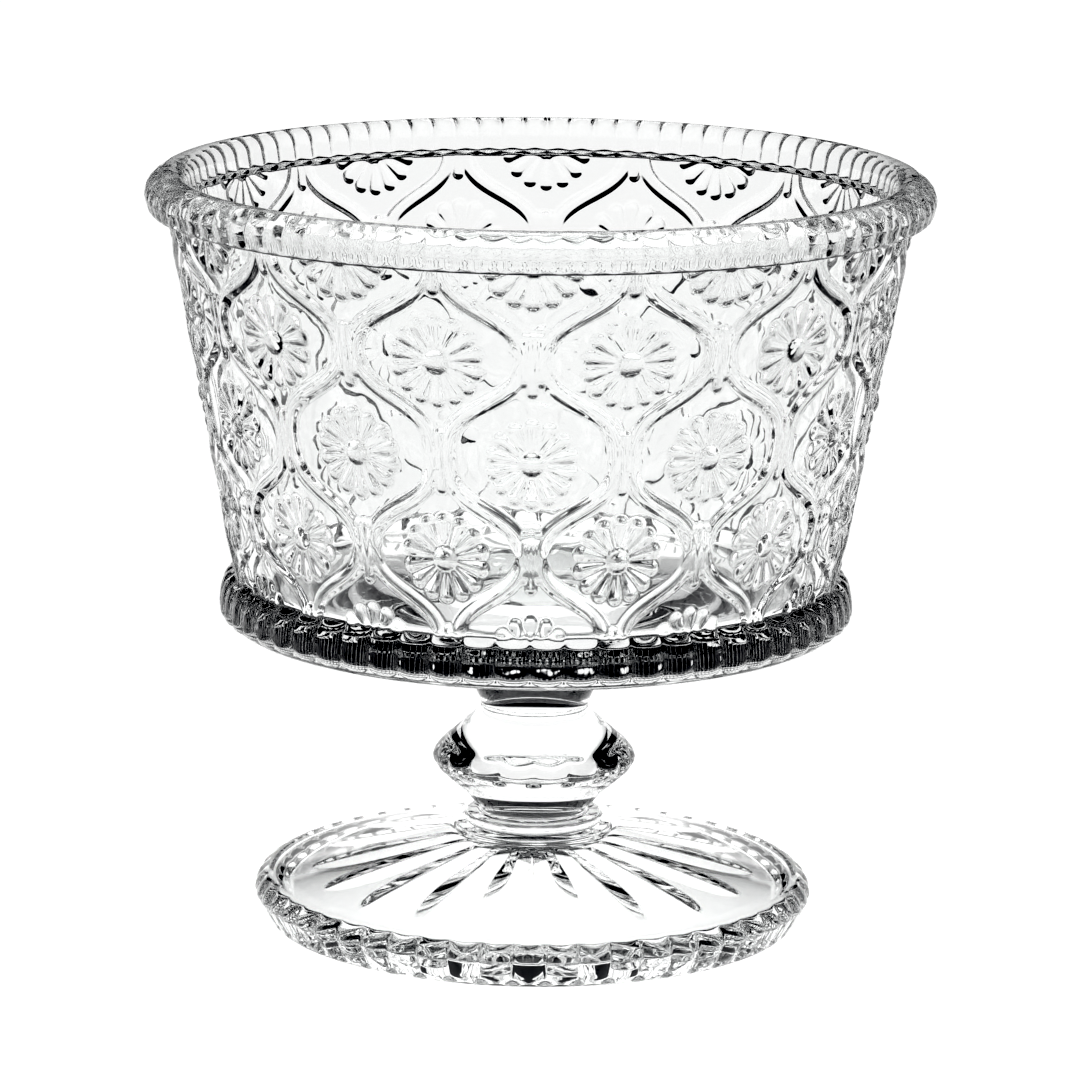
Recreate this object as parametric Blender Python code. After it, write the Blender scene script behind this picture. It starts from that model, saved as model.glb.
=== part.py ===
"""Footed dessert glass of clear pressed glass.

Three pieces, fused face to face: a bowl with a reeded rim and a reeded base roll, a stem with a
fluted knop, and a conical foot with a reeded edge and a star of rays in its underside.
Metres, +Z up, origin at the centre of the circle that the foot stands on.
"""

import math

import bmesh
import bpy

# ---------------------------------------------------------------- driving dimensions
MM = 0.001
GAP = 0.3 * MM  # clearance between two fused faces

# bowl
RIM_TOP_Z = 111.6 * MM  # overall height
RIM_RADIUS = 57.5 * MM  # widest circle, on the crests of the rim reeds
RIM_MID_Z = 108.6 * MM  # height of the widest circle
RIM_TOP_RADIUS = 54.9 * MM  # top of the rim bead
RIM_LOW_Z = 106.2 * MM  # lower edge of the rim bead
RIM_LOW_RADIUS = 55.4 * MM
RIM_REEDS = 96
RIM_REED_DEPTH = 0.45 * MM
WALL_TOP_RADIUS = 54.2 * MM  # outside of the wall just under the rim bead
WALL_LOW_RADIUS = 44.7 * MM  # outside of the wall just over the base roll
ROLL_TOP_Z = 52.6 * MM
ROLL_MID_Z = 48.6 * MM
ROLL_RADIUS = 46.5 * MM  # widest circle of the base roll, on the crests
ROLL_LOW_Z = 46.0 * MM
ROLL_LOW_RADIUS = 45.5 * MM
ROLL_REEDS = 60
ROLL_REED_DEPTH = 0.6 * MM
BASE_Z = 44.6 * MM  # underside of the bowl
BASE_RADIUS = 43.0 * MM
MOUTH_RADIUS = 51.2 * MM  # inside of the bowl at the rim
INNER_LOW_RADIUS = 41.3 * MM  # inside of the bowl where the floor's fillet begins
INNER_LOW_Z = 56.2 * MM
FLOOR_Z = 52.0 * MM
FLOOR_RADIUS = 37.2 * MM

# stem
FLARE_RADIUS = 16.0 * MM  # under the bowl
NECK_Z = 31.2 * MM
NECK_RADIUS = 7.8 * MM
KNOP_Z = 23.7 * MM
KNOP_RADIUS = 15.0 * MM  # on the crests of the flutes
KNOP_LOW_Z = 19.9 * MM
KNOP_LOW_RADIUS = 10.4 * MM
KNOP_FLUTES = 18
KNOP_FLUTE_DEPTH = 0.7 * MM
COLLAR_RADIUS = 9.8 * MM
RING_Z = 15.9 * MM
RING_RADIUS = 10.2 * MM
RING_HALF = 0.7 * MM

# foot
FOOT_JOINT_Z = 14.0 * MM  # flat top that the stem stands on
FOOT_JOINT_RADIUS = 11.0 * MM
CONE_TOP_RADIUS = 12.2 * MM
CONE_TOP_Z = 13.3 * MM
CONE_LOW_RADIUS = 38.0 * MM
CONE_LOW_Z = 6.7 * MM
EDGE_RADIUS = 41.3 * MM  # widest circle of the foot, on the crests of its reeds
EDGE_Z = 4.1 * MM
EDGE_REEDS = 54
EDGE_REED_DEPTH = 0.6 * MM
STAND_RADIUS = 39.0 * MM  # outer edge of the ring that the glass stands on
STAND_INNER_RADIUS = 35.0 * MM
HOLLOW_Z = 8.0 * MM  # height of the hollow under the foot, at its centre
STAR_RAYS = 18
STAR_DEPTH = 0.9 * MM
STAR_INNER_RADIUS = 9.5 * MM
STAR_OUTER_RADIUS = 33.5 * MM


# ---------------------------------------------------------------- geometry helpers
def even(radius, height, count=96):
    """A plain circle: the same radius and height all round."""
    return [(radius, height)] * count


def reeded(radius, height, reeds, depth, per_reed=2, crest_at_zero=True):
    """A circle whose radius falls by depth between the crests of its reeds."""
    turn = 0.0 if crest_at_zero else math.pi
    out = []
    for i in range(reeds * per_reed):
        wave = 0.5 - 0.5 * math.cos(2.0 * math.pi * i / per_reed + turn)
        out.append((radius - depth * wave, height))
    return out


def arc(start, end, bulge, steps):
    """Points of a shallow arc from start to end in the (radius, height) plane, without its ends."""
    (r0, z0), (r1, z1) = start, end
    dr, dz = r1 - r0, z1 - z0
    length = math.hypot(dr, dz)
    nr, nz = dz / length, -dr / length
    points = []
    for k in range(1, steps):
        t = k / steps
        lift = bulge * 4.0 * t * (1.0 - t)
        points.append((r0 + dr * t + nr * lift, z0 + dz * t + nz * lift))
    return points


def add_ring(bm, ring):
    count = len(ring)
    verts = []
    for i, (radius, height) in enumerate(ring):
        a = 2.0 * math.pi * i / count
        verts.append(bm.verts.new((radius * math.cos(a), radius * math.sin(a), height)))
    return verts


def join_rings(bm, low, high):
    """Faces between two rings, which may have different numbers of points."""
    n, m = len(low), len(high)
    if n == m:
        for i in range(n):
            j = (i + 1) % n
            bm.faces.new((low[i], low[j], high[j], high[i]))
        return
    i = j = 0
    while i < n or j < m:
        if j >= m or (i < n and (i + 1) * m <= (j + 1) * n):
            bm.faces.new((low[i % n], low[(i + 1) % n], high[j % m]))
            i += 1
        else:
            bm.faces.new((low[i % n], high[(j + 1) % m], high[j % m]))
            j += 1


def glass(name, colour, roughness):
    material = bpy.data.materials.new(name)
    material.use_nodes = True
    shader = material.node_tree.nodes["Principled BSDF"]
    shader.inputs["Base Color"].default_value = (*colour, 1.0)
    shader.inputs["Roughness"].default_value = roughness
    shader.inputs["Metallic"].default_value = 0.0
    shader.inputs["IOR"].default_value = 1.51
    shader.inputs["Transmission Weight"].default_value = 1.0
    return material


def turned(name, rings, material, parent):
    """A closed solid from a stack of rings, with a flat cap on the first ring and on the last."""
    bm = bmesh.new()
    stack = [add_ring(bm, ring) for ring in rings]
    for low, high in zip(stack, stack[1:]):
        join_rings(bm, low, high)
    bm.faces.new(list(reversed(stack[0])))
    bm.faces.new(stack[-1])
    bmesh.ops.recalc_face_normals(bm, faces=bm.faces)
    mesh = bpy.data.meshes.new(name)
    bm.to_mesh(mesh)
    bm.free()
    mesh.shade_smooth()
    mesh.set_sharp_from_angle(angle=math.radians(40.0))
    mesh.materials.append(material)
    piece = bpy.data.objects.new(name, mesh)
    bpy.context.scene.collection.objects.link(piece)
    piece.parent = parent
    return piece


# ---------------------------------------------------------------- bowl
def bowl_rings():
    def roll(radius, height, share):
        return reeded(radius, height, ROLL_REEDS, ROLL_REED_DEPTH * share, crest_at_zero=False)

    def bead(radius, height, share):
        return reeded(radius, height, RIM_REEDS, RIM_REED_DEPTH * share, crest_at_zero=False)

    rings = [even(FLARE_RADIUS + 1.0 * MM, BASE_Z, 60), even(BASE_RADIUS, BASE_Z, 120)]
    for r, z in arc((BASE_RADIUS, BASE_Z), (ROLL_LOW_RADIUS, ROLL_LOW_Z), 0.35 * MM, 2):
        rings.append(roll(r, z, 0.0))
    rings.append(roll(ROLL_LOW_RADIUS, ROLL_LOW_Z, 0.5))
    for r, z in arc((ROLL_LOW_RADIUS, ROLL_LOW_Z), (ROLL_RADIUS, ROLL_MID_Z), 0.25 * MM, 2):
        rings.append(roll(r, z, 1.0))
    rings.append(roll(ROLL_RADIUS, ROLL_MID_Z, 1.0))
    for r, z in arc((ROLL_RADIUS, ROLL_MID_Z), (WALL_LOW_RADIUS, ROLL_TOP_Z), 0.25 * MM, 3):
        rings.append(roll(r, z, 1.0))
    rings.append(even(WALL_LOW_RADIUS, ROLL_TOP_Z, 120))
    wall_rows = 3
    for k in range(1, wall_rows):
        t = k / wall_rows
        r = WALL_LOW_RADIUS + (WALL_TOP_RADIUS - WALL_LOW_RADIUS) * t
        rings.append(even(r, ROLL_TOP_Z + (RIM_LOW_Z - ROLL_TOP_Z) * t, 96))
    rings.append(even(WALL_TOP_RADIUS, RIM_LOW_Z - 0.2 * MM, 96))
    rings.append(bead(RIM_LOW_RADIUS, RIM_LOW_Z, 0.3))
    for r, z in arc((RIM_LOW_RADIUS, RIM_LOW_Z), (RIM_RADIUS, RIM_MID_Z), 0.45 * MM, 2):
        rings.append(bead(r, z, 1.0))
    rings.append(bead(RIM_RADIUS, RIM_MID_Z, 1.0))
    for r, z in arc((RIM_RADIUS, RIM_MID_Z), (RIM_TOP_RADIUS, RIM_TOP_Z), 0.75 * MM, 3):
        rings.append(bead(r, z, 0.8))
    rings.append(even(RIM_TOP_RADIUS, RIM_TOP_Z, 96))
    rings.append(even(RIM_TOP_RADIUS - 1.4 * MM, RIM_TOP_Z, 96))
    mouth_z = RIM_TOP_Z - 2.2 * MM
    for r, z in arc((RIM_TOP_RADIUS - 1.4 * MM, RIM_TOP_Z), (MOUTH_RADIUS, mouth_z), -0.5 * MM, 2):
        rings.append(even(r, z))
    rings.append(even(MOUTH_RADIUS, mouth_z))
    for k in range(1, wall_rows + 1):
        t = k / wall_rows
        r = MOUTH_RADIUS + (INNER_LOW_RADIUS - MOUTH_RADIUS) * t
        rings.append(even(r, mouth_z + (INNER_LOW_Z - mouth_z) * t))
    for r, z in arc((INNER_LOW_RADIUS, INNER_LOW_Z), (FLOOR_RADIUS, FLOOR_Z), -1.1 * MM, 4):
        rings.append(even(r, z))
    rings.append(even(FLOOR_RADIUS, FLOOR_Z))
    return rings


# ---------------------------------------------------------------- stem
def stem_rings():
    def flutes(radius, height, share):
        return reeded(radius, height, KNOP_FLUTES, KNOP_FLUTE_DEPTH * share, 4, crest_at_zero=False)

    plain = KNOP_FLUTES * 4
    rings = [even(FOOT_JOINT_RADIUS - 0.4 * MM, FOOT_JOINT_Z + GAP, plain)]
    rings.append(even(COLLAR_RADIUS, RING_Z - RING_HALF, plain))
    for k in range(1, 4):  # the ring at the lower end of the collar
        z = RING_Z - RING_HALF * math.cos(math.pi * k / 4.0)
        r = COLLAR_RADIUS + (RING_RADIUS - COLLAR_RADIUS) * math.sin(math.pi * k / 4.0)
        rings.append(even(r, z, plain))
    rings.append(even(COLLAR_RADIUS, RING_Z + RING_HALF, plain))
    rings.append(even(COLLAR_RADIUS, KNOP_LOW_Z - 0.3 * MM, plain))
    lower = 4
    for k in range(lower + 1):  # quarter ellipse up to the widest circle
        a = 0.5 * math.pi * k / lower
        r = KNOP_LOW_RADIUS + (KNOP_RADIUS - KNOP_LOW_RADIUS) * math.sin(a)
        z = KNOP_Z - (KNOP_Z - KNOP_LOW_Z) * math.cos(a)
        rings.append(flutes(r, z, 0.4 + 0.6 * k / lower))
    upper = 6
    for k in range(1, upper + 1):  # shoulder, falling to the neck
        t = k / upper
        r = NECK_RADIUS + (KNOP_RADIUS - NECK_RADIUS) * (0.5 + 0.5 * math.cos(math.pi * t**1.25))
        rings.append(flutes(r, KNOP_Z + (NECK_Z - KNOP_Z) * t, 1.0 - 0.8 * t))
    top = BASE_Z - GAP
    flare = 5
    for k in range(1, flare + 1):  # flare that spreads under the bowl
        t = k / flare
        r = NECK_RADIUS + (FLARE_RADIUS - NECK_RADIUS) * t**1.35
        rings.append(even(r, NECK_Z + (top - NECK_Z) * t, plain))
    return rings


# ---------------------------------------------------------------- foot
def foot_rings():
    def edge(radius, height, share):
        return reeded(radius, height, EDGE_REEDS, EDGE_REED_DEPTH * share)

    def star(radius, height, share):
        """Underside of the hollow, with the rays standing up into the glass."""
        out = []
        count = STAR_RAYS * 4
        for i in range(count):
            a = 2.0 * math.pi * i / count
            ray = 0.5 - 0.5 * math.cos(STAR_RAYS * a)
            out.append((radius, height + STAR_DEPTH * share * ray * ray))
        return out

    def hollow(radius):
        t = (STAND_INNER_RADIUS - radius) / STAND_INNER_RADIUS
        return 1.0 * MM + (HOLLOW_Z - 1.0 * MM) * min(1.0, t * 1.3)

    rings = [even(STAR_INNER_RADIUS - 1.5 * MM, hollow(STAR_INNER_RADIUS - 1.5 * MM), 72)]
    steps = 4
    for k in range(steps + 1):
        t = k / steps
        r = STAR_INNER_RADIUS + (STAR_OUTER_RADIUS - STAR_INNER_RADIUS) * t
        share = math.sin(math.pi * min(1.0, max(0.0, 0.1 + 0.8 * t)))
        rings.append(star(r, hollow(r), share if 0 < k < steps else 0.0))
    rings.append(even(STAND_INNER_RADIUS, 0.0, 72))
    rings.append(even(STAND_RADIUS, 0.0, 108))
    rings.append(edge(STAND_RADIUS + 0.9 * MM, 0.9 * MM, 0.6))
    rings.append(edge(EDGE_RADIUS, EDGE_Z, 1.0))
    for r, z in arc((EDGE_RADIUS, EDGE_Z), (CONE_LOW_RADIUS, CONE_LOW_Z), 0.35 * MM, 2):
        rings.append(edge(r, z, 1.0))
    rings.append(even(CONE_LOW_RADIUS, CONE_LOW_Z, 108))
    rings.append(even(0.5 * (CONE_LOW_RADIUS + CONE_TOP_RADIUS), 0.5 * (CONE_LOW_Z + CONE_TOP_Z), 72))
    rings.append(even(CONE_TOP_RADIUS, CONE_TOP_Z, 72))
    rings.append(even(FOOT_JOINT_RADIUS, FOOT_JOINT_Z, 72))
    return rings


# ---------------------------------------------------------------- assembly
def main():
    for item in list(bpy.data.objects):
        bpy.data.objects.remove(item, do_unlink=True)
    base = bpy.data.objects.new("dessert_glass", None)
    base.empty_display_size = 0.03
    bpy.context.scene.collection.objects.link(base)
    turned("bowl", bowl_rings(), glass("bowl_glass", (0.95, 0.965, 0.965), 0.02), base)
    turned("stem", stem_rings(), glass("stem_glass", (0.95, 0.965, 0.965), 0.02), base)
    turned("foot", foot_rings(), glass("foot_glass", (0.95, 0.965, 0.965), 0.02), base)


main()
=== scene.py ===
"""Looks of the footed dessert glass: clear pressed glass on a pale floor in bright-field studio light."""

import math

import bpy
import numpy as np
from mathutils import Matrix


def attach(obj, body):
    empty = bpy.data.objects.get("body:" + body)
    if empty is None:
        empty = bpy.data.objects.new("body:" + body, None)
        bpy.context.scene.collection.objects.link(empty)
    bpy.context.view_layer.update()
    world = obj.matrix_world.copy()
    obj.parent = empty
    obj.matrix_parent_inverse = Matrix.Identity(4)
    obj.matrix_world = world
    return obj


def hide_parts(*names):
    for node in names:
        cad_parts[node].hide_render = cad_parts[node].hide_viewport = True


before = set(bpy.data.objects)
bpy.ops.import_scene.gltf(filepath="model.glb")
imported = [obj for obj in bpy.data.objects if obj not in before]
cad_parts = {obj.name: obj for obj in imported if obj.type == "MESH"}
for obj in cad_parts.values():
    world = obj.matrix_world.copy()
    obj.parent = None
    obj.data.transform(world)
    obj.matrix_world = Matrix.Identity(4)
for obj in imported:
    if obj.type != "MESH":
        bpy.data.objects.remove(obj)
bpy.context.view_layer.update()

MM = 0.001

# ---------------------------------------------------------------- camera
FOCAL_PX = 5862.2  # focal length in pixels of a 1080 pixel frame
PITCH = math.radians(12.3586)  # looking down
ROLL = math.radians(0.70)
CAMERA_AT = (0.0, -0.84237, 0.24138)
AXIS_X_PX = 536.6  # where the glass's axis crosses the middle row of the frame


def rotation_x(a):
    return np.array([[1, 0, 0], [0, math.cos(a), -math.sin(a)], [0, math.sin(a), math.cos(a)]])


def rotation_z(a):
    return np.array([[math.cos(a), -math.sin(a), 0], [math.sin(a), math.cos(a), 0], [0, 0, 1]])


def make_camera():
    data = bpy.data.cameras.new("camera")
    data.sensor_fit = "HORIZONTAL"
    data.sensor_width = 36.0
    data.lens = 36.0 * FOCAL_PX / 1080.0
    data.clip_start, data.clip_end = 0.01, 60.0
    data.shift_x = (540.0 - AXIS_X_PX) / 1080.0
    camera = bpy.data.objects.new("camera", data)
    bpy.context.scene.collection.objects.link(camera)
    turn = rotation_x(math.pi / 2 - PITCH) @ rotation_z(ROLL)
    matrix = np.eye(4)
    matrix[:3, :3] = turn
    matrix[:3, 3] = CAMERA_AT
    from mathutils import Matrix

    camera.matrix_world = Matrix(matrix.tolist())
    bpy.context.scene.camera = camera


# ---------------------------------------------------------------- small shape functions
def smooth(t):
    t = np.clip(t, 0.0, 1.0)
    return t * t * (3.0 - 2.0 * t)


def segment(e, slope):
    """Cross-section of a round-backed ridge: 1 on its middle line, 0 at its edges (e = 1), where it has this slope."""
    low = math.cos(slope)
    return (np.sqrt(np.clip(1.0 - np.square(np.minimum(e, 1.0) * math.sin(slope)), 0.0, None)) - low) / (1.0 - low)


def soft_max(a, b, k):
    """The larger of two heights, with a small fillet of size k where they cross."""
    h = np.clip(0.5 + 0.5 * (a - b) / k, 0.0, 1.0)
    return b + (a - b) * h + k * h * (1.0 - h)


def reed(theta, count, phase):
    """0 in the grooves between reeds, 1 on their crests: round-backed reeds with sharp grooves."""
    u = theta * count / (2.0 * math.pi) + phase
    d = u - np.floor(u) - 0.5
    return 1.0 - np.square(2.0 * d)


def spline(points, x):
    """Smooth monotone curve through (x, y) points."""
    px = np.array([p[0] for p in points], float)
    py = np.array([p[1] for p in points], float)
    d = np.diff(py) / np.diff(px)
    m = np.empty_like(py)
    m[0], m[-1] = d[0], d[-1]
    for i in range(1, len(py) - 1):
        m[i] = 0.0 if d[i - 1] * d[i] <= 0 else 2.0 * d[i - 1] * d[i] / (d[i - 1] + d[i])
    i = np.clip(np.searchsorted(px, x) - 1, 0, len(px) - 2)
    h = px[i + 1] - px[i]
    t = np.clip((x - px[i]) / h, 0.0, 1.0)
    t2, t3 = t * t, t * t * t
    return (
        (2 * t3 - 3 * t2 + 1) * py[i]
        + (t3 - 2 * t2 + t) * h * m[i]
        + (-2 * t3 + 3 * t2) * py[i + 1]
        + (t3 - t2) * h * m[i + 1]
    )


# ---------------------------------------------------------------- meshes from stacked rings
def mesh_from_rings(name, rings, slots=None, joints=()):
    """A closed mesh from rings, each an array of points (n, 3) in mm. The first and last are closed with a fan.

    joints holds the numbers of the strips (ring i to i + 1, or "first" and "last" for the fans) that lie on a
    fused face, which get the mesh's second material.
    """
    verts, starts, counts = [], [], []
    total = 0
    for ring in rings:
        starts.append(total)
        counts.append(len(ring))
        verts.append(ring)
        total += len(ring)
    verts.append(rings[0].mean(axis=0)[None, :])
    verts.append(rings[-1].mean(axis=0)[None, :])
    bottom, top = total, total + 1
    points = np.concatenate(verts) * MM
    faces4, faces3, mark4, mark3 = [], [], [], []
    for k in range(len(rings) - 1):
        n, m = counts[k], counts[k + 1]
        a, b = starts[k], starts[k + 1]
        joint = 1 if k in joints else 0
        if n == m:
            i = np.arange(n)
            j = (i + 1) % n
            quad = np.stack([a + i, a + j, b + j, b + i], axis=1)
            faces4.append(quad)
            mark4.append(np.full(n, joint))
        else:
            i = j = 0
            tri = []
            while i < n or j < m:
                if j >= m or (i < n and (i + 1) * m <= (j + 1) * n):
                    tri.append((a + i % n, a + (i + 1) % n, b + j % m))
                    i += 1
                else:
                    tri.append((a + i % n, b + (j + 1) % m, b + j % m))
                    j += 1
            faces3.append(np.array(tri))
            mark3.append(np.full(len(tri), joint))
    n = counts[0]
    i = np.arange(n)
    faces3.append(np.stack([np.full(n, bottom), starts[0] + (i + 1) % n, starts[0] + i], axis=1))
    mark3.append(np.full(n, 1 if "first" in joints else 0))
    n = counts[-1]
    i = np.arange(n)
    faces3.append(np.stack([np.full(n, top), starts[-1] + i, starts[-1] + (i + 1) % n], axis=1))
    mark3.append(np.full(n, 1 if "last" in joints else 0))
    quads, tris = np.concatenate(faces4), np.concatenate(faces3)
    loops = np.concatenate([quads.ravel(), tris.ravel()]).astype(np.int32)
    loop_start = np.concatenate([np.arange(len(quads)) * 4, len(quads) * 4 + np.arange(len(tris)) * 3]).astype(np.int32)
    mesh = bpy.data.meshes.new(name)
    mesh.vertices.add(len(points))
    mesh.vertices.foreach_set("co", points.astype(np.float32).ravel())
    mesh.loops.add(len(loops))
    mesh.loops.foreach_set("vertex_index", loops)
    mesh.polygons.add(len(loop_start))
    mesh.polygons.foreach_set("loop_start", loop_start)
    mesh.polygons.foreach_set("material_index", np.concatenate(mark4 + mark3).astype(np.int32))
    mesh.update(calc_edges=True)
    mesh.shade_smooth()
    return mesh


def ring_points(theta, radius, height):
    """Ring in mm. Angles run from the front (-Y) towards +X."""
    radius = np.broadcast_to(radius, theta.shape)
    height = np.broadcast_to(height, theta.shape)
    return np.stack([radius * np.sin(theta), -radius * np.cos(theta), height], axis=1)


def circle(count):
    return np.arange(count) * (2.0 * math.pi / count)


# ---------------------------------------------------------------- the lattice and daisies of the wall
COLUMNS = 12
COLUMN = 2.0 * math.pi / COLUMNS
PATTERN_RADIUS = 49.5  # the pattern is laid out on a cylinder of this radius
ROW_PITCH = 14.42
ROW_TOP = 107.0
ROWS = 5
BOWL_TURN = math.radians(-0.9)  # the pattern's turn about the axis

RIBBON_HALF = 1.14
RIBBON_SLOPE = math.radians(50.0)
TONGUE_HALF = 0.85
TONGUE_LONG = 3.9
TONGUE_HEIGHT = 0.6
TONGUE_SLOPE = math.radians(66.0)
PETALS = 14
PETAL_TIP = 5.45  # centre of the petal's rounded end, from the flower's centre
PETAL_HALF = 1.21
PETAL_SLOPE = math.radians(42.0)
BOSS_RADIUS = 1.9
BOSS_SLOPE = math.radians(54.0)
POLISH = 0.13  # radius, in mm, that fire polishing leaves on every edge of the pattern


def ribbon_line(raised):
    """Centre line of one ribbon from a node (0, 0) to the next one (half a column, one row down)."""
    s = np.linspace(-1.3, 1.3, 420)
    half = 0.25 * COLUMN * PATTERN_RADIUS  # half of the way across
    offset = 1.08
    x = half + (half - offset) * np.tanh(2.2 * s) / math.tanh(2.2)
    z = -0.5 * ROW_PITCH - 0.5 * ROW_PITCH * s + raised
    return np.stack([x, z], axis=1)


def wall_relief(x, z):
    """Height of the raised pattern over the ground of the wall, for arrays of x (mm round the wall, 0 at a column's
    middle) and z (mm)."""
    half = 0.5 * COLUMN * PATTERN_RADIUS
    shape = x.shape
    px, pz = x.ravel(), z.ravel()
    # ribbons
    lines = []
    for row in range(-1, ROWS + 1):
        zc = ROW_TOP - row * ROW_PITCH
        even = row % 2 == 0
        for node in (-2, -1, 0, 1, 2):
            if even == (node % 2 == 0):
                continue
            for side in (-1, 1):
                # ribbons that leave the nodes of the middle column run a little higher than those that reach them
                line = ribbon_line(1.4 if node % 2 == 0 else 0.0)
                lines.append(np.stack([node * half + side * line[:, 0], zc + line[:, 1]], axis=1))
    lines = np.concatenate(lines)
    keep = (np.abs(lines[:, 0]) < half + 3.0) & (lines[:, 1] > z.min() - 3.0) & (lines[:, 1] < z.max() + 3.0)
    lines = lines[keep]
    best = np.full(px.shape, 1e9)
    order = np.argsort(lines[:, 1])
    lines = lines[order]
    for z0 in np.arange(z.min() - 1.0, z.max() + 1.0, 1.5):
        here = np.where((pz >= z0) & (pz < z0 + 1.5))[0]
        if not len(here):
            continue
        near = lines[(lines[:, 1] > z0 - 1.6) & (lines[:, 1] < z0 + 3.1)]
        if not len(near):
            continue
        for part in np.array_split(here, max(1, len(here) * len(near) // 4_000_000)):
            d = np.square(px[part, None] - near[None, :, 0]) + np.square(pz[part, None] - near[None, :, 1])
            best[part] = np.sqrt(d.min(axis=1))
    height = RIBBON_HALF * math.tan(0.5 * RIBBON_SLOPE) * segment(best / RIBBON_HALF, RIBBON_SLOPE)
    # tongues on the nodes, flowers in the cells
    for row in range(-1, ROWS + 1):
        zc = ROW_TOP - row * ROW_PITCH
        even = row % 2 == 0
        for node in (-2, -1, 0, 1, 2):
            dx, dz = px - node * half, pz - zc
            if even != (node % 2 == 0):
                # a node: a short bead with round ends lies over the seam of the two ribbons
                along = np.clip(np.abs(dz) - TONGUE_LONG, 0.0, None)
                e = np.hypot(dx, along) / TONGUE_HALF
                height = np.maximum(height, TONGUE_HEIGHT * segment(e, TONGUE_SLOPE))
                continue
            rho = np.hypot(dx, dz)
            near = np.where(rho < PETAL_TIP + PETAL_HALF + 0.1)[0]
            r, a = rho[near], np.arctan2(dz[near], dx[near]) + 0.5 * math.pi
            step = 2.0 * math.pi / PETALS
            a = a - step * np.round(a / step)
            u, v = r * np.cos(a), r * np.abs(np.sin(a))
            width = np.clip(u * math.tan(0.5 * step) * 0.985, 0.05, PETAL_HALF)
            e = np.where(u < PETAL_TIP, v / width, np.hypot(v, u - PETAL_TIP) / PETAL_HALF)
            petal = width * math.tan(0.5 * PETAL_SLOPE) * segment(e, PETAL_SLOPE)
            boss = BOSS_RADIUS * math.tan(0.5 * BOSS_SLOPE) * segment(r / BOSS_RADIUS, BOSS_SLOPE)
            height[near] = np.maximum(height[near], np.maximum(petal, boss))
    return polished(height.reshape(shape), abs(x[0, 1] - x[0, 0]), abs(z[1, 0] - z[0, 0]))


def polished(height, step_x, step_z):
    """The height field with its edges rounded off: a small blur that wraps round the column."""
    for axis, step in ((1, step_x), (0, step_z)):
        reach = max(1, int(math.ceil(3.0 * POLISH / step)))
        weights = np.exp(-0.5 * np.square(np.arange(-reach, reach + 1) * step / POLISH))
        weights /= weights.sum()
        total = np.zeros_like(height)
        for shift, weight in zip(range(-reach, reach + 1), weights):
            if axis == 1:
                total += weight * np.roll(height, shift, axis=1)
            else:
                rows = np.clip(np.arange(len(height)) - shift, 0, len(height) - 1)
                total += weight * height[rows]
        height = total
    return height


# ---------------------------------------------------------------- bowl
RIM_REEDS = 96
ROLL_REEDS = 60
ROLL_END, ROLL_FADE, ROLL_TOP = 46.9, 1.6, 53.1
BASE_ROLL = (
    (44.6, 43.0), (44.8, 43.8), (45.2, 44.65), (45.8, 45.3), (46.6, 45.6), (47.6, 45.65), (49.5, 45.5), (51.0, 45.1),
    (52.0, 44.5), (52.6, 43.7), (53.2, 42.0),
)  # height and radius, in mm
BASE_Z = 44.6
FINE = 144  # points across one column of the pattern


def wall_ground(z):
    return 44.25 + (z - 53.0) * (53.9 - 44.25) / (105.5 - 53.0)


def bowl_outside(theta, z):
    """Radius of the outside of the bowl, in mm, for grids of angle and height."""
    t = theta - BOWL_TURN
    column = t - COLUMN * np.round(t / COLUMN)
    z_rows = z[:, 0]
    wall_rows = np.where((z_rows > 50.0) & (z_rows < 107.2))[0]
    radius = wall_ground(z) - 0.0
    # the pattern repeats in every column, so one column is worked out and laid round the wall
    count = theta.shape[1] // COLUMNS
    one = column[wall_rows][:, :count]
    relief = wall_relief(one * PATTERN_RADIUS, z[wall_rows][:, :count])
    radius[wall_rows] += np.tile(relief, (1, COLUMNS))
    # roll round the base: a plain ring, and over it round-backed reeds with round lower ends
    ring = spline(BASE_ROLL, z)
    u = t * ROLL_REEDS / (2.0 * math.pi)
    u = 2.0 * (u - np.floor(u)) - 1.0
    back = np.sqrt(np.clip(1.0 - np.square(u * 0.985), 0.0, None))
    end = ROLL_END - 1.1 * back
    lift = np.sqrt(np.clip((z - end) / 1.5, 0.0, 1.0) * (2.0 - np.clip((z - end) / 1.5, 0.0, 1.0)))
    roll = ring + (1.05 * back - 0.12) * lift * smooth((ROLL_TOP - 0.4 - z) / ROLL_FADE)
    roll = np.where(z < ROLL_TOP, roll, 0.0)
    radius = np.where(z < 50.2, roll, soft_max(radius, roll, 0.12))
    # bead round the rim
    bead = spline([(105.7, 53.2), (105.8, 55.0), (105.9, 56.2), (106.05, 56.7), (106.3, 56.95), (107.2, 57.25), (108.4, 57.5), (109.6, 57.2), (110.5, 56.5), (111.1, 55.75), (111.6, 54.9)], z)
    rise = reed(t, RIM_REEDS, 0.0)
    share = smooth((z - 105.6) / 1.2) * smooth((111.6 - z) / 1.6)
    bead = bead - 0.42 * (1.0 - rise) * share
    bead = np.where(z > 105.68, bead, 0.0)
    return np.where(z > 107.2, bead, np.maximum(radius, bead))


UNDER_RISE = 1.35  # the underside is slightly hollow between the stem and the roll
FLOOR_EDGE, FLOOR_FILLET, FLOOR_DOME = 53.2, 3.0, 4.0  # inside floor: a fillet at the wall and a low dome


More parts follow.
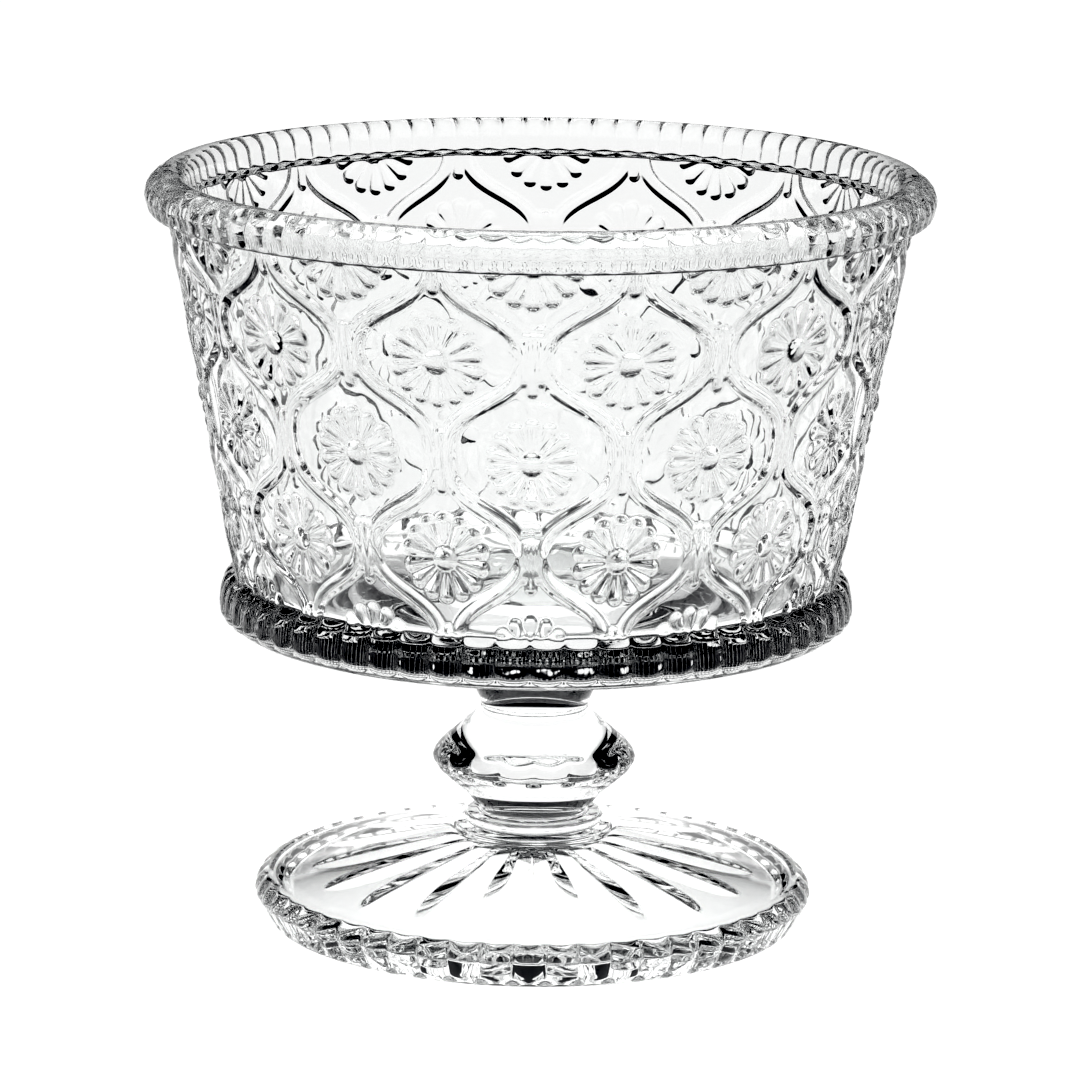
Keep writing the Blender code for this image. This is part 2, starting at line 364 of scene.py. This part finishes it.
def make_bowl():
    count = COLUMNS * FINE
    theta = circle(count) + BOWL_TURN - 0.5 * COLUMN + 0.5 * COLUMN / FINE
    coarse = circle(count // 6) + theta[0]
    z_low = 44.6 + 8.2 * np.linspace(0.0, 1.0, 44) ** 1.15
    z_wall = np.linspace(z_low[-1], 105.6, 262)[1:]
    z_rim = np.concatenate([np.linspace(105.6, 106.6, 14)[1:], np.linspace(106.6, 111.0, 20)[1:], [111.2, 111.35, 111.47, 111.55]])
    z = np.concatenate([z_low, z_wall, z_rim])
    grid_t, grid_z = np.meshgrid(theta, z)
    radius = bowl_outside(grid_t, grid_z)
    rings = []
    # underside
    joint_radius = 16.0
    rings.append(ring_points(coarse, 6.0, BASE_Z))
    rings.append(ring_points(coarse, joint_radius, BASE_Z))
    for r in (16.4, 19.0, 25.0, 32.0, 38.0, 41.0, 42.2, 42.7):
        rings.append(ring_points(coarse, r, BASE_Z + UNDER_RISE * math.sin(math.pi * (r - 16.0) / 26.9) ** 2))
    for k in range(len(z)):
        rings.append(ring_points(theta, radius[k], z[k]))
    # rim top and inside
    inner = [(54.6, 111.6), (54.0, 111.66), (53.3, 111.6), (52.6, 111.35), (52.0, 110.95), (51.55, 110.4), (51.3, 109.8), (51.15, 109.0)]
    rings.append(ring_points(theta, 54.75, 111.59))
    for r, h in inner:
        rings.append(ring_points(coarse, r, h))
    z0, z1, r0, r1 = 109.0, FLOOR_EDGE, 51.15, 41.5 + 0.186 * (FLOOR_EDGE - 57.2)
    for k in range(1, 15):
        s = k / 14.0
        rings.append(ring_points(coarse, r0 + (r1 - r0) * s, z0 + (z1 - z0) * s))
    # fillet into the floor
    fillet = FLOOR_FILLET
    slope = math.atan2(r0 - r1, z0 - z1)
    centre_r = r1 - fillet * math.cos(slope)
    centre_z = z1 + fillet * math.sin(slope)
    for k in range(1, 12):
        a = -slope - (0.5 * math.pi - slope) * k / 11.0
        rings.append(ring_points(coarse, centre_r + fillet * math.cos(a), centre_z + fillet * math.sin(a)))
    floor_r, floor_z = centre_r, centre_z - fillet
    for k in range(1, 7):
        s = 1.0 - k / 7.0
        rings.append(ring_points(coarse, floor_r * s, floor_z + FLOOR_DOME * (1.0 - s * s)))
    return mesh_from_rings("bowl_glass", rings, joints=("first", 0))


# ---------------------------------------------------------------- stem
FLUTES = 18
STEM_LOW, STEM_HIGH = 13.98, 44.62
KNOP_FLUTE = 0.5
STEM_FLARE = ((11.6, 13.98), (11.2, 14.1), (10.7, 14.25), (10.3, 14.4), (10.0, 14.5))
RING_Z, RING_HALF = 15.2, 0.68
COLLAR = ((15.88, 9.6), (15.9, 8.0), (16.1, 7.75), (16.4, 7.8), (17.6, 8.9), (18.6, 9.85), (19.4, 10.6))
KNOP_LOW = ((19.4, 10.6), (20.0, 11.2), (20.6, 11.9), (21.4, 12.8), (22.2, 13.7), (22.9, 14.4), (23.7, 14.92), (24.3, 15.0))
KNOP_HIGH = ((24.3, 15.0), (24.9, 14.85), (26.0, 14.15), (27.5, 12.45), (29.0, 10.75), (30.2, 9.4), (31.2, 8.45), (32.0, 7.95))


def make_stem():
    count = FLUTES * 24
    theta = circle(count)
    profile = []
    # foot of the collar, ring, collar
    for r, z in STEM_FLARE:
        profile.append((r, z, 0.0))
    for k in range(0, 11):
        a = math.pi * k / 10.0
        profile.append((9.75 + 0.55 * math.sin(a) ** 0.8, RING_Z - RING_HALF * math.cos(a), 0.0))
    for (z0, r0), (z1, r1) in zip(COLLAR, COLLAR[1:]):
        for k in range(4):
            profile.append((r0 + (r1 - r0) * k / 4.0, z0 + (z1 - z0) * k / 4.0, 0.0))
    profile.append((COLLAR[-1][1], COLLAR[-1][0], 0.0))
    # knop: a plain cone below, round-ended flutes from its widest line up, a shoulder above
    for points in (KNOP_LOW, KNOP_HIGH):
        for z in np.linspace(points[0][0], points[-1][0], 41)[1:]:
            share = float(smooth(np.array((z - 22.7) / 0.8)) * smooth(np.array((27.0 - z) / 3.2)))
            profile.append((float(spline(points, np.array(z))), z, share))
    for k in range(1, 33):
        t = k / 32.0
        profile.append((7.9 + 8.1 * t**1.35, 32.1 + (STEM_HIGH - 32.1) * t, 0.0))
    rise = reed(theta, FLUTES, 0.0)
    rings = [ring_points(theta, 5.0, profile[0][1])]
    for r, z, share in profile:
        rings.append(ring_points(theta, r - KNOP_FLUTE * (r / 15.0) * share * (1.0 - rise), z))
    rings.append(ring_points(theta, 6.0, profile[-1][1]))
    return mesh_from_rings("stem_glass", rings, joints=("first", 0, len(rings) - 2, "last"))


# ---------------------------------------------------------------- foot
EDGE_REEDS = 54
STAR_RAYS = 18
FOOT_TURN = math.radians(-0.5)


HOLLOW = ((0.0, 8.1), (8.0, 8.0), (14.0, 6.6), (30.0, 2.3), (37.2, 0.3))
STANDING = ((37.5, 0.15), (37.8, 0.05), (38.1, 0.0), (38.7, 0.0))
STAR_IN, STAR_OUT = 7.0, 31.0
STAR_SHARE = 0.95
STAR_DEPTH = 1.0
STAR_ROUND = 0.1
STAR_TIP = 17.0


def star_depth(r, ray):
    """Depth of the flutes of the star pressed in the underside of the foot: leaf-shaped, with round bottoms."""
    out = min(1.0, max(0.0, (STAR_OUT - r) / STAR_TIP))
    end = math.sqrt(out * (2.0 - out))
    half = STAR_SHARE * r * math.pi / STAR_RAYS * end
    depth = STAR_DEPTH * end * min(1.0, max(0.0, (r - STAR_IN) / 4.0))
    if depth < 1e-6:
        return np.zeros_like(ray)
    x = np.clip(r * np.abs(ray) / half, 0.0, 1.0)
    return depth * (math.sqrt(1.0 + STAR_ROUND**2) - np.sqrt(np.square(x) + STAR_ROUND**2))


def make_foot():
    fine = EDGE_REEDS * 20
    theta = circle(fine)
    t = theta - FOOT_TURN
    coarse = circle(fine // 5)
    rings = []

    # hollow underside with the star, and standing ring
    def hollow(r):
        return spline(HOLLOW, np.asarray(r, float))

    ray = t * STAR_RAYS / (2.0 * math.pi) - 0.5
    ray = (ray - np.round(ray)) * (2.0 * math.pi / STAR_RAYS)
    rings.append(ring_points(coarse, 3.0, float(hollow(3.0))))
    for r in np.concatenate([[6.0, 7.0], np.linspace(7.5, 33.4, 60), np.linspace(34.2, HOLLOW[-1][0], 5)]):
        rings.append(ring_points(theta, r, float(hollow(r)) + star_depth(float(r), ray)))
    for r, z in STANDING:
        rings.append(ring_points(theta, r, z))
    # reeded edge
    rise = reed(t, EDGE_REEDS, 0.5)
    edge = [(38.95, 0.05), (39.15, 0.2), (39.35, 0.5), (39.6, 0.9)]
    for k in range(1, 13):
        s = k / 12.0
        edge.append((39.6 + 1.7 * s**0.9, 0.9 + 3.1 * s))
    for k in range(1, 15):
        a = 0.5 * math.pi * k / 14.0
        edge.append((38.6 + 2.7 * math.cos(a) ** 0.9, 4.0 + 2.75 * math.sin(a)))
    for r, z in edge:
        share = float(smooth(np.array((z - 0.2) / 0.9)) * smooth(np.array((6.75 - z) / 0.8)))
        rings.append(ring_points(theta, r - 0.6 * share * (1.0 - rise), z))
    # cone
    for r, z in ((38.2, 6.72), (36.5, 7.15), (33.0, 8.04), (28.0, 9.32), (22.0, 10.85), (17.0, 12.12), (14.0, 12.89), (12.6, 13.25), (12.2, 13.45), (11.9, 13.7), (11.6, 14.0)):
        rings.append(ring_points(coarse, r, z))
    rings.append(ring_points(coarse, 5.0, 14.0))
    return mesh_from_rings("foot_glass", rings, joints=(len(rings) - 2, "last"))


# ---------------------------------------------------------------- materials
def glass_material(name, seed, wave):
    material = bpy.data.materials.new(name)
    material.use_nodes = True
    tree = material.node_tree
    shader = tree.nodes["Principled BSDF"]
    shader.inputs["Base Color"].default_value = (0.985, 0.99, 0.988, 1.0)
    shader.inputs["IOR"].default_value = 1.51
    shader.inputs["Transmission Weight"].default_value = 1.0
    coords = tree.nodes.new("ShaderNodeTexCoord")
    # fire polish: slow waves left in the surface, and faint differences in its gloss
    place = tree.nodes.new("ShaderNodeMapping")
    place.inputs["Location"].default_value = (seed * 0.37, seed * 0.11, seed * 0.23)
    tree.links.new(coords.outputs["Object"], place.inputs["Vector"])
    waves = tree.nodes.new("ShaderNodeTexNoise")
    waves.inputs["Scale"].default_value = 160.0
    waves.inputs["Detail"].default_value = 1.5
    waves.inputs["Roughness"].default_value = 0.4
    tree.links.new(place.outputs["Vector"], waves.inputs["Vector"])
    bump = tree.nodes.new("ShaderNodeBump")
    # the moulded floor and roll are calmer than the wall
    split = tree.nodes.new("ShaderNodeSeparateXYZ")
    tree.links.new(coords.outputs["Object"], split.inputs[0])
    calm = tree.nodes.new("ShaderNodeMapRange")
    calm.inputs["From Min"].default_value = 0.052
    calm.inputs["From Max"].default_value = 0.062
    calm.inputs["To Min"].default_value = 0.15
    calm.inputs["To Max"].default_value = 1.0
    tree.links.new(split.outputs["Z"], calm.inputs["Value"])
    tree.links.new(calm.outputs["Result"], bump.inputs["Strength"])
    bump.inputs["Distance"].default_value = wave
    tree.links.new(waves.outputs["Fac"], bump.inputs["Height"])
    tree.links.new(bump.outputs["Normal"], shader.inputs["Normal"])
    haze = tree.nodes.new("ShaderNodeTexNoise")
    haze.inputs["Scale"].default_value = 70.0
    haze.inputs["Detail"].default_value = 4.0
    tree.links.new(place.outputs["Vector"], haze.inputs["Vector"])
    gloss = tree.nodes.new("ShaderNodeMapRange")
    gloss.inputs["From Min"].default_value = 0.35
    gloss.inputs["From Max"].default_value = 0.75
    gloss.inputs["To Min"].default_value = 0.0
    gloss.inputs["To Max"].default_value = 0.03
    tree.links.new(haze.outputs["Fac"], gloss.inputs["Value"])
    tree.links.new(gloss.outputs["Result"], shader.inputs["Roughness"])
    return material


def joint_material():
    """Fused face inside the glass: it neither bends nor reflects light."""
    material = bpy.data.materials.new("fused_joint")
    material.use_nodes = True
    shader = material.node_tree.nodes["Principled BSDF"]
    shader.inputs["Base Color"].default_value = (1.0, 1.0, 1.0, 1.0)
    shader.inputs["Roughness"].default_value = 0.0
    shader.inputs["IOR"].default_value = 1.0
    shader.inputs["Transmission Weight"].default_value = 1.0
    return material


def floor_material():
    material = bpy.data.materials.new("floor")
    material.use_nodes = True
    tree = material.node_tree
    shader = tree.nodes["Principled BSDF"]
    shader.inputs["Roughness"].default_value = 0.9
    shader.inputs["Specular IOR Level"].default_value = 0.0
    noise = tree.nodes.new("ShaderNodeTexNoise")
    noise.inputs["Scale"].default_value = 40.0
    ramp = tree.nodes.new("ShaderNodeMix")
    ramp.data_type = "RGBA"
    ramp.inputs[6].default_value = (0.49, 0.49, 0.49, 1.0)
    ramp.inputs[7].default_value = (0.51, 0.51, 0.51, 1.0)
    tree.links.new(noise.outputs["Fac"], ramp.inputs[0])
    tree.links.new(ramp.outputs[2], shader.inputs["Base Color"])
    # a light table: it glows under the foot
    shader.inputs["Emission Color"].default_value = (1.0, 1.0, 1.0, 1.0)
    shader.inputs["Emission Strength"].default_value = FLOOR_GLOW
    return material


# ---------------------------------------------------------------- light
# What the glass stands in: a white floor with low white screens behind it, at its sides and in front, in a dark room.
# The screens' top is given by azimuth, in degrees from straight behind the glass and metres.
SCREEN_RADIUS = 0.38
SCREEN_TOP = ((0.0, 0.10), (45.0, 0.10), (55.0, 0.0), (74.0, 0.0), (82.0, 0.10), (98.0, 0.10), (106.0, 0.04), (145.0, 0.04), (155.0, 0.10), (180.0, 0.10))
SCREEN_SOFT = 0.008
FLOOR_RADIUS = 0.12
DARK = (0.011, 0.012, 0.015)
WHITE = 1.07
FLOOR_LIGHT = 1.26
FLOOR_GLOW = 0.7


def node_tools(tree):
    def calc(operation, a, b=None, c=None):
        node = tree.nodes.new("ShaderNodeMath")
        node.operation = operation
        for socket, value in zip(node.inputs, (a, b, c)):
            if value is None:
                continue
            if isinstance(value, (int, float)):
                socket.default_value = value
            else:
                tree.links.new(value, socket)
        return node.outputs[0]

    def below(value, limit, soft):
        """1 where the value is under the limit, 0 over it, with a soft edge."""
        node = tree.nodes.new("ShaderNodeMapRange")
        node.interpolation_type = "SMOOTHSTEP"
        node.inputs["From Min"].default_value = limit - soft
        node.inputs["From Max"].default_value = limit + soft
        node.inputs["To Min"].default_value = 1.0
        node.inputs["To Max"].default_value = 0.0
        tree.links.new(value, node.inputs["Value"])
        return node.outputs["Result"]

    def mix(factor, low, high):
        node = tree.nodes.new("ShaderNodeMix")
        node.data_type = "RGBA"
        for socket, value in ((node.inputs[0], factor), (node.inputs[6], low), (node.inputs[7], high)):
            if isinstance(value, tuple):
                socket.default_value = (*value, 1.0)
            else:
                tree.links.new(value, socket)
        return node.outputs[2]

    return calc, below, mix


def make_world():
    """Plain white for the camera and for the light on the floor, dark for the glass."""
    world = bpy.data.worlds.new("studio")
    bpy.context.scene.world = world
    world.use_nodes = True
    tree = world.node_tree
    tree.nodes.clear()
    calc, below, mix = node_tools(tree)
    path = tree.nodes.new("ShaderNodeLightPath")
    spread = calc("GREATER_THAN", path.outputs["Diffuse Depth"], 0.5)
    room = mix(spread, DARK, (FLOOR_LIGHT,) * 3)
    back = tree.nodes.new("ShaderNodeBackground")
    tree.links.new(mix(path.outputs["Is Camera Ray"], room, (WHITE,) * 3), back.inputs["Color"])
    out = tree.nodes.new("ShaderNodeOutputWorld")
    tree.links.new(back.outputs["Background"], out.inputs["Surface"])


def surround_material():
    material = bpy.data.materials.new("surround")
    material.use_nodes = True
    material.cycles.emission_sampling = "NONE"
    tree = material.node_tree
    tree.nodes.clear()
    calc, below, mix = node_tools(tree)
    coords = tree.nodes.new("ShaderNodeTexCoord")
    split = tree.nodes.new("ShaderNodeSeparateXYZ")
    tree.links.new(coords.outputs["Object"], split.inputs[0])
    x, y, z = split.outputs
    around = calc("ABSOLUTE", calc("ARCTAN2", x, y))
    top = None
    for (low, low_top), (high, high_top) in zip(SCREEN_TOP, SCREEN_TOP[1:]):
        step = tree.nodes.new("ShaderNodeMapRange")
        step.inputs["From Min"].default_value = math.radians(low)
        step.inputs["From Max"].default_value = math.radians(high)
        step.inputs["To Min"].default_value = 0.0
        step.inputs["To Max"].default_value = high_top - low_top
        tree.links.new(around, step.inputs["Value"])
        top = calc("ADD", step.outputs["Result"], SCREEN_TOP[0][1] if top is None else top)
    upright = calc("GREATER_THAN", z, 0.0)
    bright = calc("MULTIPLY", upright, below(calc("SUBTRACT", z, top), 0.001, SCREEN_SOFT))
    bright = calc("ADD", bright, calc("SUBTRACT", 1.0, upright))
    path = tree.nodes.new("ShaderNodeLightPath")
    spread = calc("GREATER_THAN", path.outputs["Diffuse Depth"], 0.5)
    glow = tree.nodes.new("ShaderNodeEmission")
    tree.links.new(mix(spread, mix(bright, DARK, (WHITE,) * 3), (FLOOR_LIGHT,) * 3), glow.inputs["Color"])
    out = tree.nodes.new("ShaderNodeOutputMaterial")
    tree.links.new(glow.outputs["Emission"], out.inputs["Surface"])
    return material


def make_surround():
    """Sheets and room round the glass, for what the glass shows of them; the camera looks past them."""
    old = bpy.data.objects.get("surround")
    if old:
        bpy.data.objects.remove(old)
    count = 180
    theta = circle(count)
    verts, faces = [], []
    for r, h in ((FLOOR_RADIUS, -0.00003), (SCREEN_RADIUS, -0.00003), (SCREEN_RADIUS, 0.5)):
        verts += [(r * math.sin(a), -r * math.cos(a), h) for a in theta]
    for k in range(2):
        a, b = k * count, (k + 1) * count
        faces += [(a + i, b + i, b + (i + 1) % count, a + (i + 1) % count) for i in range(count)]
    mesh = bpy.data.meshes.new("surround")
    mesh.from_pydata(verts, [], faces)
    mesh.update()
    mesh.materials.append(surround_material())
    surround = bpy.data.objects.new("surround", mesh)
    bpy.context.scene.collection.objects.link(surround)
    surround.visible_camera = False
    surround.visible_diffuse = False
    surround.visible_shadow = False


def make_floor():
    count = 128
    theta = circle(count)
    verts = [(0.0, 0.0, -0.00003)]
    for r in (0.03, 0.06, 0.09, FLOOR_RADIUS):
        verts += [(r * math.sin(a), -r * math.cos(a), -0.00003) for a in theta]
    faces = [(0, 1 + i, 1 + (i + 1) % count) for i in range(count)]
    for k in range(3):
        a, b = 1 + k * count, 1 + (k + 1) * count
        faces += [(a + i, b + i, b + (i + 1) % count, a + (i + 1) % count) for i in range(count)]
    mesh = bpy.data.meshes.new("floor")
    mesh.from_pydata(verts, [], faces)
    mesh.update()
    mesh.materials.append(floor_material())
    floor = bpy.data.objects.new("floor", mesh)
    bpy.context.scene.collection.objects.link(floor)


# ---------------------------------------------------------------- scene
def add_piece(mesh, node, slot, seed, wave, joint):
    mesh.materials.append(glass_material(slot, seed, wave))
    mesh.materials.append(joint)
    piece = bpy.data.objects.new(mesh.name, mesh)
    bpy.context.scene.collection.objects.link(piece)
    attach(piece, "root")
    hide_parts(node)
    return piece


def main():
    scene = bpy.context.scene
    make_camera()
    make_world()
    make_floor()
    make_surround()
    joint = joint_material()
    add_piece(make_bowl(), "bowl", "bowl_glass", 1.0, 0.0001, joint)
    add_piece(make_stem(), "stem", "stem_glass", 2.0, 0.00003, joint)
    add_piece(make_foot(), "foot", "foot_glass", 3.0, 0.00003, joint)
    view = scene.view_settings
    view.view_transform = "Standard"
    view.look = "None"
    view.exposure = 0.0
    # the crisp print of a studio picture: deep blacks, paper white
    view.use_curve_mapping = True
    view.curve_mapping.black_level = (0.10, 0.10, 0.098)
    view.curve_mapping.white_level = (1.02, 1.02, 1.02)
    view.curve_mapping.update()
    view.gamma = 0.72
    scene.cycles.max_bounces = 32
    scene.cycles.transmission_bounces = 32
    scene.cycles.glossy_bounces = 12
    scene.cycles.diffuse_bounces = 3
    scene.cycles.transparent_max_bounces = 16
    scene.cycles.blur_glossy = 0.0
    scene.cycles.sample_clamp_indirect = 6.0
    scene.cycles.use_denoising = True


main()
